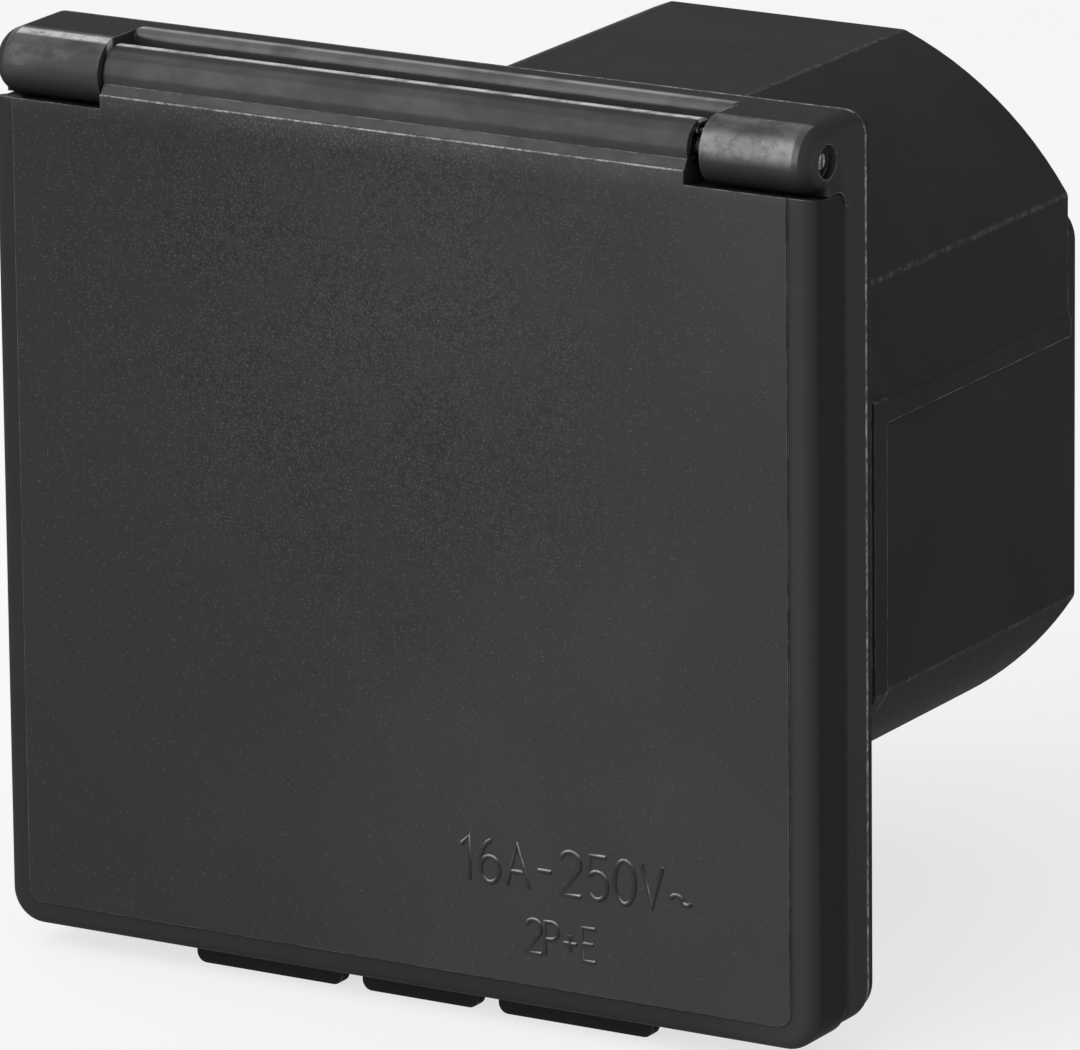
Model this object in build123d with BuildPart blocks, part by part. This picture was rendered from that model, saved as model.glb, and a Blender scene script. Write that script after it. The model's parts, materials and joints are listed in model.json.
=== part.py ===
from build123d import *
import os
from math import cos, hypot, radians, sin

# Flush wall power inlet box with a sprung flap.
# X runs to the right, +Y into the wall and Z up, in millimetres.
# The origin is the centre of the wall cut-out, in the plane of the wall.

# Box behind the wall: a round outline cut flat on four sides
box_width = 84.0
box_height = 94.0
box_corner_cut = 12.83
box_wall = 2.4
crease_radius = 1.5
shell_depth = 85.0
skirt_height = 3.3
skirt_proud = 0.5
skirt_slope = 0.75

# Flange and wall gasket
flange_side = 18.0
flange_thickness = 5.2
flange_corner = 5.3
flange_top_corner = 3.0
flange_least_corner = 0.3
flange_lip = 1.2
flange_core = 2.4
gasket_thickness = 1.8
gasket_inset = 0.5
gasket_box_gap = 0.6

# Rear cover
seam_z = 8.45
seam_gap = 0.3
cover_front = 35.0
cover_wall = 2.2
tongue_thickness = 1.7
tongue_top = 25.95
tongue_corner = 5.0
lap_wall = 1.4
lap_length = 3.0
lap_gap = 0.15

# Recess behind the flap, with its raised rim and deck
rim_wall = 2.0
rim_height = 3.3
deck_front = 12.0
deck_thickness = 2.6

# Flap and its seal
lid_inset = 0.2
lid_gap = 0.3
lid_depth = 8.35
lid_wall = 2.4
lid_skin = 2.25
lid_corner = 4.5
lid_top_corner = 1.0
lid_roundover = 1.6
lid_drop = 0.2
lid_rim_rise = 0.8
lid_rear_round = 1.9
panel_proud = 0.35
panel_border = 3.3
panel_corner = 2.0
panel_step = 2.1
seal_thickness = 2.8
seal_overlap = 1.0
seal_side_gap = 0.15
seal_rib_wall = 1.2
seal_rib_height = 1.5
seal_rib_gap = 0.3
lip_thickness = 1.8
lip_reach = 3.2
lip_setback = 1.3
lip_corner = 1.4
lip_spans = [(-34.5, -12.5), (-9.5, 7.8), (10.8, 33.5)]
hook_width = 11.0
hook_drop = 12.0
hook_stem = 2.2
hook_reach = 4.6
hook_toe = 2.4

# Hinge
hinge_forward = 4.5
knuckle_radius = 4.4
knuckle_fillet = 2.2
knuckle_left_length = 16.4
knuckle_right_length = 15.8
barrel_radius = 3.55
barrel_root = 1.0
barrel_left_gap = 0.4
barrel_right_gap = 2.2
pin_radius = 1.25
pin_end_round = 0.4
pin_recess = 1.3
pin_recess_radius = 2.2
hinge_clearance = 0.05
lid_clearance = 0.3
flap_travel = 170.0

# Hinge spring
spring_wire = 0.4
spring_mean = 2.0
spring_turns = 5
spring_pitch = 2.4
spring_bend = 0.03
spring_pocket_radius = 2.65
spring_tang = 2.4
tang_gap = 0.1

# Round inlet
shroud_radius = 25.0
shroud_wall = 2.8
shroud_front = 1.0
shroud_rear = 40.0
plate_rim = 8.0
plate_corner = 8.0
plate_thickness = 3.5
inlet_seal_thickness = 1.2
key_width = 6.4
key_depth = 2.4
key_wall = 2.2
hole_gap = 0.8
carrier_front = 36.0
carrier_gap = 0.2
carrier_flange = 4.0
ear_radius = 3.4
ear_out = 3.0
ear_boss = 12.0
barrier_wall = 1.6
barrier_reach = 12.0

# Contact pins, on a circle about the inlet's axis
pin_circle = 12.0
line_pin_radius = 2.5
earth_pin_radius = 3.5
contact_length = 30.0
contact_nose_share = 0.6
terminal_wall = 2.0
terminal_length = 18.0
wire_hole_radius = 2.1
wire_hole_depth = 11.0

# Screws
mount_inset_x = 9.0
mount_inset_z = 15.25
mount_hole_radius = 2.2
mount_sink_radius = 4.3
mount_pad_radius = 6.5
inlet_screw_inset = 6.0
screw_head_radius = 3.1
screw_head_height = 2.2
screw_radius = 1.5
screw_clearance = 0.5
pilot_clearance = 0.1
boss_wall = 2.0
boss_length = 9.0
screw_length = 9.0
cover_screw_inset = 14.0
cover_screw_z = 17.5
small_head_radius = 2.2
small_head_height = 1.4
small_screw_radius = 1.1
drive_length_share = 1.2
drive_width_share = 0.28
drive_floor_share = 0.4
slot_width_share = 0.35

# Cable gland in the rear wall
gland_z = -18.0
gland_thread = 9.9
gland_hole_gap = 0.3
gland_bore = 6.6
gland_hex = 12.0
gland_hex_thickness = 4.0
gland_seal_thickness = 1.2
gland_inside = 9.0
gland_outside = 7.0
locknut_thickness = 4.5
locknut_extra = 1.0
cap_length = 13.0
cap_front_gap = 0.5
cap_round = 2.0
cap_wall = 1.7
cap_opening = 6.2
sleeve_bore = 5.5
sleeve_length = 12.0
thread_gap = 0.1

# Places that follow from the sizes above
box_radius = hypot(box_width, box_height) / 2 - box_corner_cut
flange_width = box_width + 2 * flange_side
seal_outer = box_wall - rim_wall - seal_overlap
seal_inner = box_wall + seal_overlap
lid_half_height = box_height / 2 - seal_outer + seal_side_gap + lid_wall
flange_height = 2 * (lid_half_height + lid_clearance + 2 * knuckle_radius)
flange_back = -gasket_thickness
flange_front = flange_back - flange_thickness
hinge_y = flange_front - hinge_forward
hinge_z = flange_height / 2 - knuckle_radius
knuckle_inner_left = knuckle_left_length - flange_width / 2
knuckle_inner_right = flange_width / 2 - knuckle_right_length
barrel_left = knuckle_inner_left + barrel_left_gap
barrel_right = knuckle_inner_right - barrel_right_gap
lid_width = flange_width - 2 * lid_inset
lid_back = flange_front - lid_gap
lid_front = lid_back - lid_depth
lid_inner = lid_front + lid_skin
lid_top = hinge_z - knuckle_radius - lid_clearance
lid_rim = lid_top + lid_rim_rise
lid_bottom = -flange_height / 2 - lid_drop
panel_step_z = hinge_z - panel_step
hook_height = box_height / 2 - hook_drop
rim_front = flange_front - rim_height
shroud_bore = shroud_radius - shroud_wall
ear_x = shroud_radius + ear_out
plate_size = 2 * (shroud_radius + plate_rim)
inlet_screw_spacing = plate_size - 2 * inlet_screw_inset
mount_spacing_x = flange_width - 2 * mount_inset_x
mount_spacing_z = flange_height - 2 * mount_inset_z
cover_screw_x = box_width / 2 - cover_screw_inset
cover_depth = shell_depth + seam_gap + tongue_thickness
deck_back = deck_front + deck_thickness
seal_front = lid_inner
seal_back = seal_front + seal_thickness
plate_back = deck_front - inlet_seal_thickness
plate_front = plate_back - plate_thickness
carrier_back = shroud_rear + carrier_flange
terminal_rear = shroud_rear + terminal_length
cover_inner = cover_depth - cover_wall
gland_seat = cover_depth + gland_seal_thickness
gland_hex_rear = gland_seat + gland_hex_thickness
ear_points = [(-ear_x, 0), (ear_x, 0)]
inlet_screw_points = [(x, z) for x in (-inlet_screw_spacing / 2, inlet_screw_spacing / 2)
                      for z in (-inlet_screw_spacing / 2, inlet_screw_spacing / 2)]
mount_points = [(x, z) for x in (-mount_spacing_x / 2, mount_spacing_x / 2)
                for z in (-mount_spacing_z / 2, mount_spacing_z / 2)]
cover_screw_points = [(-cover_screw_x, cover_screw_z), (cover_screw_x, cover_screw_z)]
contact_angles = {"live": 150, "neutral": 30, "earth": 270}


def at_depth(y):
    """The upright plane at depth y, seen from the front: X to the right and Z up."""
    return Plane.XZ.offset(-y)


def slab(profile, front, back, mode=Mode.ADD):
    """A front-view profile made solid between two depths."""
    with BuildSketch(at_depth(back)) as placed:
        add(profile)
    extrude(placed.sketch, amount=back - front, mode=mode)


def posts(points, radius, start, end, mode=Mode.ADD):
    """Round posts or holes along Y, one at each point."""
    with BuildSketch(at_depth(max(start, end))) as rounds:
        with Locations(*points):
            Circle(radius)
    extrude(rounds.sketch, amount=abs(end - start), mode=mode)


def hinge_rod(radius, left, right, mode=Mode.ADD):
    """A round along the hinge axis."""
    with BuildSketch(Plane.YZ.offset(left)) as section:
        with Locations((hinge_y, hinge_z)):
            Circle(radius)
    extrude(section.sketch, amount=right - left, mode=mode)


def box_outline(inset=0.0):
    """The box's front view: a circle cut flat on four sides."""
    with BuildSketch() as outline:
        Circle(box_radius - inset)
        Rectangle(box_width - 2 * inset, box_height - 2 * inset, mode=Mode.INTERSECT)
        fillet(outline.vertices(), crease_radius)
    return outline.sketch


def box_ring(outer_inset, inner_inset):
    """A ring between two insets of the box's outline."""
    with BuildSketch() as ring:
        add(box_outline(outer_inset))
        add(box_outline(inner_inset), mode=Mode.SUBTRACT)
    return ring.sketch


def flange_outline(inset=0.0):
    """The flange's front view, with tighter corners at the top."""
    top_corner = max(flange_top_corner - inset, flange_least_corner)
    with BuildSketch() as outline:
        Rectangle(flange_width - 2 * inset, flange_height - 2 * inset)
        fillet(outline.vertices().group_by(Axis.Y)[0], flange_corner - inset)
        fillet(outline.vertices().group_by(Axis.Y)[-1], top_corner)
    return outline.sketch


def band(low, high):
    """A wide front-view strip between two heights."""
    with BuildSketch() as strip:
        with Locations((0, (low + high) / 2)):
            Rectangle(flange_width, high - low)
    return strip.sketch


def inlet_hole(gap):
    """The hole that the round inlet passes through, with room for its ears and key."""
    key_drop = shroud_radius + key_wall + gap
    with BuildSketch() as hole:
        Circle(shroud_radius + gap)
        with Locations(*ear_points):
            Circle(ear_radius + gap)
        with Locations((0, -key_drop / 2)):
            Rectangle(key_width + 2 * (key_wall + gap), key_drop)
    return hole.sketch


def hexagon(across_flats):
    """A hexagon with flats above and below."""
    with BuildSketch() as outline:
        RegularPolygon(across_flats, 6, major_radius=False, rotation=30)
    return outline.sketch


def screws(points, seat, head_end, tip, head_radius, shank_radius):
    """Pan-head screws along Y with a cross recess."""
    recess_floor = seat + drive_floor_share * (head_end - seat)
    drive_length = drive_length_share * head_radius
    drive_width = drive_width_share * head_radius
    posts(points, head_radius, seat, head_end)
    posts(points, shank_radius, seat, tip)
    with BuildSketch(at_depth(max(head_end, recess_floor))) as drive:
        with Locations(*points):
            Rectangle(drive_length, drive_width)
            Rectangle(drive_width, drive_length)
    extrude(drive.sketch, amount=abs(head_end - recess_floor), mode=Mode.SUBTRACT)


def contact_place(name):
    """Where a contact stands on the pin circle, in X and Z."""
    angle = radians(contact_angles[name])
    return (pin_circle * cos(angle), pin_circle * sin(angle))


def contact_radius(name):
    """The earth contact is thicker than the other two."""
    return earth_pin_radius if name == "earth" else line_pin_radius


def knuckle(inner, outer):
    """A fixed hinge knuckle: round in front, flat on top, with a domed outer end."""
    low = hinge_z - knuckle_radius
    with BuildPart() as block:
        with BuildSketch(Plane.XY.offset(hinge_z)) as half_length:
            with Locations(((inner + outer) / 2, hinge_y)):
                Rectangle(abs(outer - inner), knuckle_radius, align=(Align.CENTER, Align.MIN))
            outer_corner = half_length.vertices().sort_by_distance((outer, hinge_y + knuckle_radius))[0]
            fillet(outer_corner, flange_top_corner)
        revolve(axis=Axis((0, hinge_y, hinge_z), (1, 0, 0)))
        # The web behind runs down the flange in a hollow curve
        with BuildSketch(Plane.YZ.offset(min(inner, outer))) as web:
            with BuildLine():
                Line((hinge_y, hinge_z + knuckle_radius), (flange_back, hinge_z + knuckle_radius))
                Line((flange_back, hinge_z + knuckle_radius), (flange_back, low - knuckle_fillet))
                Line((flange_back, low - knuckle_fillet), (flange_front, low - knuckle_fillet))
                RadiusArc((flange_front, low - knuckle_fillet), (flange_front - knuckle_fillet, low), -knuckle_fillet)
                Line((flange_front - knuckle_fillet, low), (hinge_y, low))
                Line((hinge_y, low), (hinge_y, hinge_z + knuckle_radius))
            make_face()
        extrude(web.sketch, amount=abs(outer - inner))
        slab(flange_outline(), hinge_y - knuckle_radius, flange_back, Mode.INTERSECT)
    return block.part


def lid_outline(inset=0.0):
    """The flap's front view below the hinge, rounded at the two bottom corners."""
    top = lid_rim if inset == 0 else lid_top - inset
    bottom = lid_bottom + inset
    with BuildSketch() as outline:
        with Locations((0, (top + bottom) / 2)):
            Rectangle(lid_width - 2 * inset, top - bottom)
        fillet(outline.vertices().group_by(Axis.Y)[0], lid_corner - inset)
    return outline.sketch


def panel_outline():
    """The raised field of the flap, which steps up between the knuckles."""
    half = lid_width / 2 - panel_border
    bottom = lid_bottom + panel_border
    with BuildSketch() as outline:
        with BuildLine():
            Polyline(
                (-half, bottom),
                (half, bottom),
                (half, lid_rim),
                (barrel_right, lid_rim),
                (barrel_right, panel_step_z),
                (barrel_left, panel_step_z),
                (barrel_left, lid_rim),
                (-half, lid_rim),
                close=True,
            )
        make_face()
        fillet(outline.vertices().group_by(Axis.Y)[0], panel_corner)
    return outline.sketch


# The centre line of the spring coil, round the hinge pin at the flap's right end
spring_length = spring_turns * spring_pitch
spring_right = barrel_right - spring_wire
spring_left = spring_right - spring_length
pocket_left = spring_left - 2 * spring_wire
with BuildLine() as coil:
    Helix(spring_pitch, spring_length, spring_mean, center=(spring_left, hinge_y, hinge_z), direction=(1, 0, 0))
coil_start = coil.line @ 0
coil_end = coil.line @ 1
tang_right = knuckle_inner_right + spring_tang


def tang(point, left, right, radius, mode=Mode.ADD):
    """A straight end of the spring wire, or the hole for it, along X."""
    with BuildSketch(Plane.YZ.offset(left)) as section:
        with Locations((point.Y, point.Z)):
            Circle(radius)
    extrude(section.sketch, amount=right - left, mode=mode)


with BuildPart() as front_housing:
    slab(flange_outline(), flange_front, flange_back)
    fillet(front_housing.faces().sort_by(Axis.Y)[0].edges(), flange_lip)
    slab(box_outline(), flange_back, shell_depth)
    slab(box_ring(box_wall - rim_wall, box_wall), rim_front, flange_front)
    # Upper shell stays; the lower half behind the seam belongs to the cover
    slab(band(-flange_height / 2, seam_z), cover_front, shell_depth, Mode.SUBTRACT)
    with BuildSketch(mode=Mode.PRIVATE) as skirt_ring:
        add(box_outline(-skirt_proud))
        add(band(seam_z + skirt_height, flange_height / 2), mode=Mode.SUBTRACT)
    slab(skirt_ring.sketch, cover_front - skirt_height, cover_front)
    for side in (-1, 1):
        edge = side * box_width / 2
        with BuildSketch(at_depth(shell_depth)):
            Polygon(
                (edge, seam_z),
                (edge + side * skirt_proud, seam_z),
                (edge + side * skirt_proud, seam_z + skirt_slope * skirt_height),
                (edge, seam_z + skirt_height),
                align=None,
            )
        extrude(amount=shell_depth - cover_front)
    # Recess in front of the deck and wiring chamber behind it
    slab(box_outline(box_wall), rim_front, deck_front, Mode.SUBTRACT)
    slab(box_outline(box_wall), deck_back, shell_depth - box_wall, Mode.SUBTRACT)
    slab(inlet_hole(hole_gap), deck_front, deck_back, Mode.SUBTRACT)
    posts(inlet_screw_points, screw_radius + boss_wall, deck_back, deck_back + boss_length)
    posts(inlet_screw_points, screw_radius + pilot_clearance, deck_front, deck_back + boss_length, Mode.SUBTRACT)
    posts(cover_screw_points, screw_radius + boss_wall, shell_depth - box_wall - boss_length, shell_depth - box_wall)
    posts(cover_screw_points, screw_radius + pilot_clearance, shell_depth - boss_length, shell_depth, Mode.SUBTRACT)
    # The flange is cored from behind, with a pad at each fixing hole
    with BuildSketch(mode=Mode.PRIVATE) as core:
        add(flange_outline(flange_core))
        add(box_outline(-flange_core), mode=Mode.SUBTRACT)
        with Locations(*mount_points):
            Circle(mount_pad_radius, mode=Mode.SUBTRACT)
    slab(core.sketch, flange_front + flange_core, flange_back, Mode.SUBTRACT)
    add(knuckle(knuckle_inner_left, -flange_width / 2))
    add(knuckle(knuckle_inner_right, flange_width / 2))
    with Locations(at_depth(flange_front)):
        with GridLocations(mount_spacing_x, mount_spacing_z, 2, 2):
            CounterSinkHole(mount_hole_radius, mount_sink_radius, flange_thickness)
    hinge_rod(pin_radius, -flange_width / 2, flange_width / 2, Mode.SUBTRACT)
    hinge_rod(pin_recess_radius, flange_width / 2 - pin_recess, flange_width / 2, Mode.SUBTRACT)
    hinge_rod(pin_recess_radius, -flange_width / 2, pin_recess - flange_width / 2, Mode.SUBTRACT)
    tang(coil_end, knuckle_inner_right, tang_right + tang_gap, spring_wire + tang_gap, Mode.SUBTRACT)

with BuildPart() as wall_gasket:
    with BuildSketch(mode=Mode.PRIVATE) as gasket:
        add(flange_outline(gasket_inset))
        add(box_outline(-gasket_box_gap), mode=Mode.SUBTRACT)
        with Locations(*mount_points):
            Circle(mount_hole_radius, mode=Mode.SUBTRACT)
    slab(gasket.sketch, flange_back, 0)

with BuildPart() as rear_cover:
    slab(box_outline(), cover_front + seam_gap, cover_depth)
    slab(band(seam_z - seam_gap, flange_height / 2), cover_front, shell_depth + seam_gap, Mode.SUBTRACT)
    slab(band(tongue_top, flange_height / 2), shell_depth, cover_depth, Mode.SUBTRACT)
    fillet(
        rear_cover.edges().filter_by(Axis.Y).group_by(Axis.Z)[-1],
        tongue_corner,
    )
    slab(box_outline(cover_wall), cover_front, cover_inner, Mode.SUBTRACT)
    # A lap inside the front edge reaches under the housing
    with BuildSketch(mode=Mode.PRIVATE) as lap:
        add(box_ring(box_wall + lap_gap, box_wall + lap_gap + lap_wall))
        add(band(seam_z - seam_gap, flange_height / 2), mode=Mode.SUBTRACT)
    slab(lap.sketch, cover_front - lap_length, cover_front + 2 * lap_length)
    with BuildSketch(mode=Mode.PRIVATE) as lap_root:
        add(box_ring(cover_wall - lap_gap, box_wall + lap_gap + lap_wall))
        add(band(seam_z - seam_gap, flange_height / 2), mode=Mode.SUBTRACT)
    slab(lap_root.sketch, cover_front + seam_gap, cover_front + 2 * lap_length)
    posts(cover_screw_points, screw_radius + screw_clearance, shell_depth, cover_depth, Mode.SUBTRACT)
    posts([(0, gland_z)], gland_thread + gland_hole_gap, cover_inner, cover_depth, Mode.SUBTRACT)

with BuildPart() as cover_screws:
    screws(cover_screw_points, cover_depth, cover_depth + screw_head_height,
           cover_depth - screw_length, screw_head_radius, screw_radius)

with BuildPart() as inlet_shroud:
    with BuildSketch(mode=Mode.PRIVATE) as plate:
        RectangleRounded(plate_size, plate_size, plate_corner)
    slab(plate.sketch, plate_front, plate_back)
    posts([(0, 0)], shroud_radius, shroud_front, shroud_rear)
    with BuildSketch(mode=Mode.PRIVATE) as key_bulge:
        with Locations((0, -(shroud_radius + key_wall) / 2)):
            Rectangle(key_width + 2 * key_wall, shroud_radius + key_wall)
    slab(key_bulge.sketch, shroud_front, shroud_rear)
    posts(ear_points, ear_radius, shroud_rear - ear_boss, shroud_rear)
    posts([(0, 0)], shroud_bore, shroud_front, shroud_rear, Mode.SUBTRACT)
    with BuildSketch(mode=Mode.PRIVATE) as key_slot:
        with Locations((0, -(shroud_bore + key_depth) / 2)):
            Rectangle(key_width, shroud_bore + key_depth)
    slab(key_slot.sketch, shroud_front, carrier_front, Mode.SUBTRACT)
    posts(inlet_screw_points, screw_radius + screw_clearance, plate_front, plate_back, Mode.SUBTRACT)
    posts(ear_points, small_screw_radius + pilot_clearance, shroud_rear - ear_boss, shroud_rear, Mode.SUBTRACT)

with BuildPart() as inlet_seal:
    with BuildSketch(mode=Mode.PRIVATE) as seal_sheet:
        RectangleRounded(plate_size, plate_size, plate_corner)
        add(inlet_hole(hole_gap), mode=Mode.SUBTRACT)
        with Locations(*inlet_screw_points):
            Circle(screw_radius + screw_clearance, mode=Mode.SUBTRACT)
    slab(seal_sheet.sketch, plate_back, deck_front)

with BuildPart() as inlet_screws:
    screws(inlet_screw_points, plate_front, plate_front - screw_head_height,
           plate_front + 2 * screw_length, screw_head_radius, screw_radius)

with BuildPart() as pin_carrier:
    posts([(0, 0)], shroud_bore - carrier_gap, carrier_front, shroud_rear)
    with BuildSketch(mode=Mode.PRIVATE) as carrier_plate:
        Circle(shroud_radius)
        with Locations(*ear_points):
            Circle(ear_radius)
    slab(carrier_plate.sketch, shroud_rear, carrier_back)
    # Three barriers stand between the terminals
    with BuildSketch(at_depth(carrier_back + barrier_reach)) as barriers:
        with PolarLocations(0, 3, 90):
            Rectangle(shroud_bore - carrier_gap, barrier_wall, align=(Align.MIN, Align.CENTER))
    extrude(amount=barrier_reach)
    for name in contact_angles:
        place = [contact_place(name)]
        posts(place, contact_radius(name), carrier_front, shroud_rear, Mode.SUBTRACT)
        posts(place, contact_radius(name) + terminal_wall, shroud_rear, carrier_back, Mode.SUBTRACT)
    posts(ear_points, small_screw_radius + screw_clearance, shroud_rear, carrier_back, Mode.SUBTRACT)

with BuildPart() as carrier_screws:
    screws(ear_points, carrier_back, carrier_back + small_head_height,
           carrier_back - screw_length, small_head_radius, small_screw_radius)


def contact(name):
    """A turned contact: a round-nosed pin in front and a drilled terminal behind."""
    place = contact_place(name)
    radius = contact_radius(name)
    tip = carrier_front - contact_length
    reach = pin_circle + radius + terminal_wall
    with BuildPart() as turned:
        posts([place], radius, tip, shroud_rear)
        fillet(turned.faces().sort_by(Axis.Y)[0].edges(), contact_nose_share * radius)
        posts([place], radius + terminal_wall, shroud_rear, terminal_rear)
        posts([place], wire_hole_radius, terminal_rear - wire_hole_depth, terminal_rear, Mode.SUBTRACT)
        with BuildSketch(terminal_screw_plane(name)) as tapped:
            Circle(small_screw_radius + pilot_clearance)
        extrude(tapped.sketch, amount=reach, mode=Mode.SUBTRACT)
    return turned.part


def terminal_screw_plane(name):
    """The plane through a terminal's axis, facing away from the inlet's centre."""
    x, z = contact_place(name)
    middle = terminal_rear - wire_hole_depth / 2
    return Plane(origin=(x, middle, z), x_dir=(0, 1, 0), z_dir=(x, 0, z))


with BuildPart() as live_pin:
    add(contact("live"))

with BuildPart() as neutral_pin:
    add(contact("neutral"))

with BuildPart() as earth_pin:
    add(contact("earth"))

with BuildPart() as terminal_screws:
    for name in contact_angles:
        outside = contact_radius(name) + terminal_wall
        with BuildSketch(terminal_screw_plane(name).offset(wire_hole_radius / 2)) as shank:
            Circle(small_screw_radius)
        extrude(shank.sketch, amount=outside - wire_hole_radius / 2)
        with BuildSketch(terminal_screw_plane(name).offset(outside)) as head:
            Circle(small_head_radius)
        extrude(head.sketch, amount=small_head_height)
        with BuildSketch(terminal_screw_plane(name).offset(outside + small_head_height / 2)) as slot:
            Rectangle(2 * small_head_radius, slot_width_share * small_head_radius)
        extrude(slot.sketch, amount=small_head_height, mode=Mode.SUBTRACT)

with BuildPart() as gland_body:
    posts([(0, gland_z)], gland_thread, cover_inner - gland_inside, gland_hex_rear + gland_outside)
    with BuildSketch(at_depth(gland_hex_rear)) as gland_flats:
        with Locations((0, gland_z)):
            add(hexagon(gland_hex))
    extrude(amount=gland_hex_thickness)
    posts([(0, gland_z)], gland_bore, cover_inner - gland_inside, gland_hex_rear + gland_outside, Mode.SUBTRACT)

with BuildPart() as gland_seal:
    posts([(0, gland_z)], gland_hex, cover_depth, gland_seat)
    posts([(0, gland_z)], gland_thread, cover_depth, gland_seat, Mode.SUBTRACT)

with BuildPart() as gland_locknut:
    with BuildSketch(at_depth(cover_inner)) as locknut_flats:
        with Locations((0, gland_z)):
            add(hexagon(gland_hex + locknut_extra))
    extrude(amount=locknut_thickness)
    posts([(0, gland_z)], gland_thread + thread_gap, cover_inner - locknut_thickness, cover_inner, Mode.SUBTRACT)

with BuildPart() as gland_cap:
    cap_rear = gland_hex_rear + cap_length
    cap_front = gland_hex_rear + cap_front_gap
    with BuildSketch(at_depth(cap_rear)) as cap_flats:
        with Locations((0, gland_z)):
            add(hexagon(gland_hex - thread_gap))
    extrude(amount=cap_rear - cap_front)
    fillet(gland_cap.faces().sort_by(Axis.Y)[-1].edges(), cap_round)
    posts([(0, gland_z)], gland_thread + thread_gap, cap_front, cap_rear - cap_wall, Mode.SUBTRACT)
    posts([(0, gland_z)], cap_opening, cap_front, cap_rear, Mode.SUBTRACT)

with BuildPart() as gland_sleeve:
    sleeve_rear = cap_rear - cap_wall
    sleeve_collar = gland_hex_rear + gland_outside
    posts([(0, gland_z)], gland_thread, sleeve_collar, sleeve_rear)
    posts([(0, gland_z)], gland_bore, sleeve_rear - sleeve_length, sleeve_collar)
    posts([(0, gland_z)], sleeve_bore, sleeve_rear - sleeve_length, sleeve_rear, Mode.SUBTRACT)

with BuildPart() as hinge_pin:
    pin_end = flange_width / 2 - pin_recess + pin_end_round
    hinge_rod(pin_radius, -pin_end, pin_end)
    fillet(hinge_pin.edges().filter_by(GeomType.CIRCLE), pin_end_round)

with BuildPart() as hinge_spring:
    with BuildSketch(Plane(origin=coil_start, z_dir=coil.line % 0)) as wire:
        Circle(spring_wire)
    sweep(wire.sketch, path=coil.line, is_frenet=True)
    with Locations(coil_start, coil_end):
        Sphere(spring_wire + spring_bend)
    tang(coil_start, pocket_left - spring_tang, spring_left, spring_wire)
    tang(coil_end, spring_right, tang_right, spring_wire)

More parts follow.
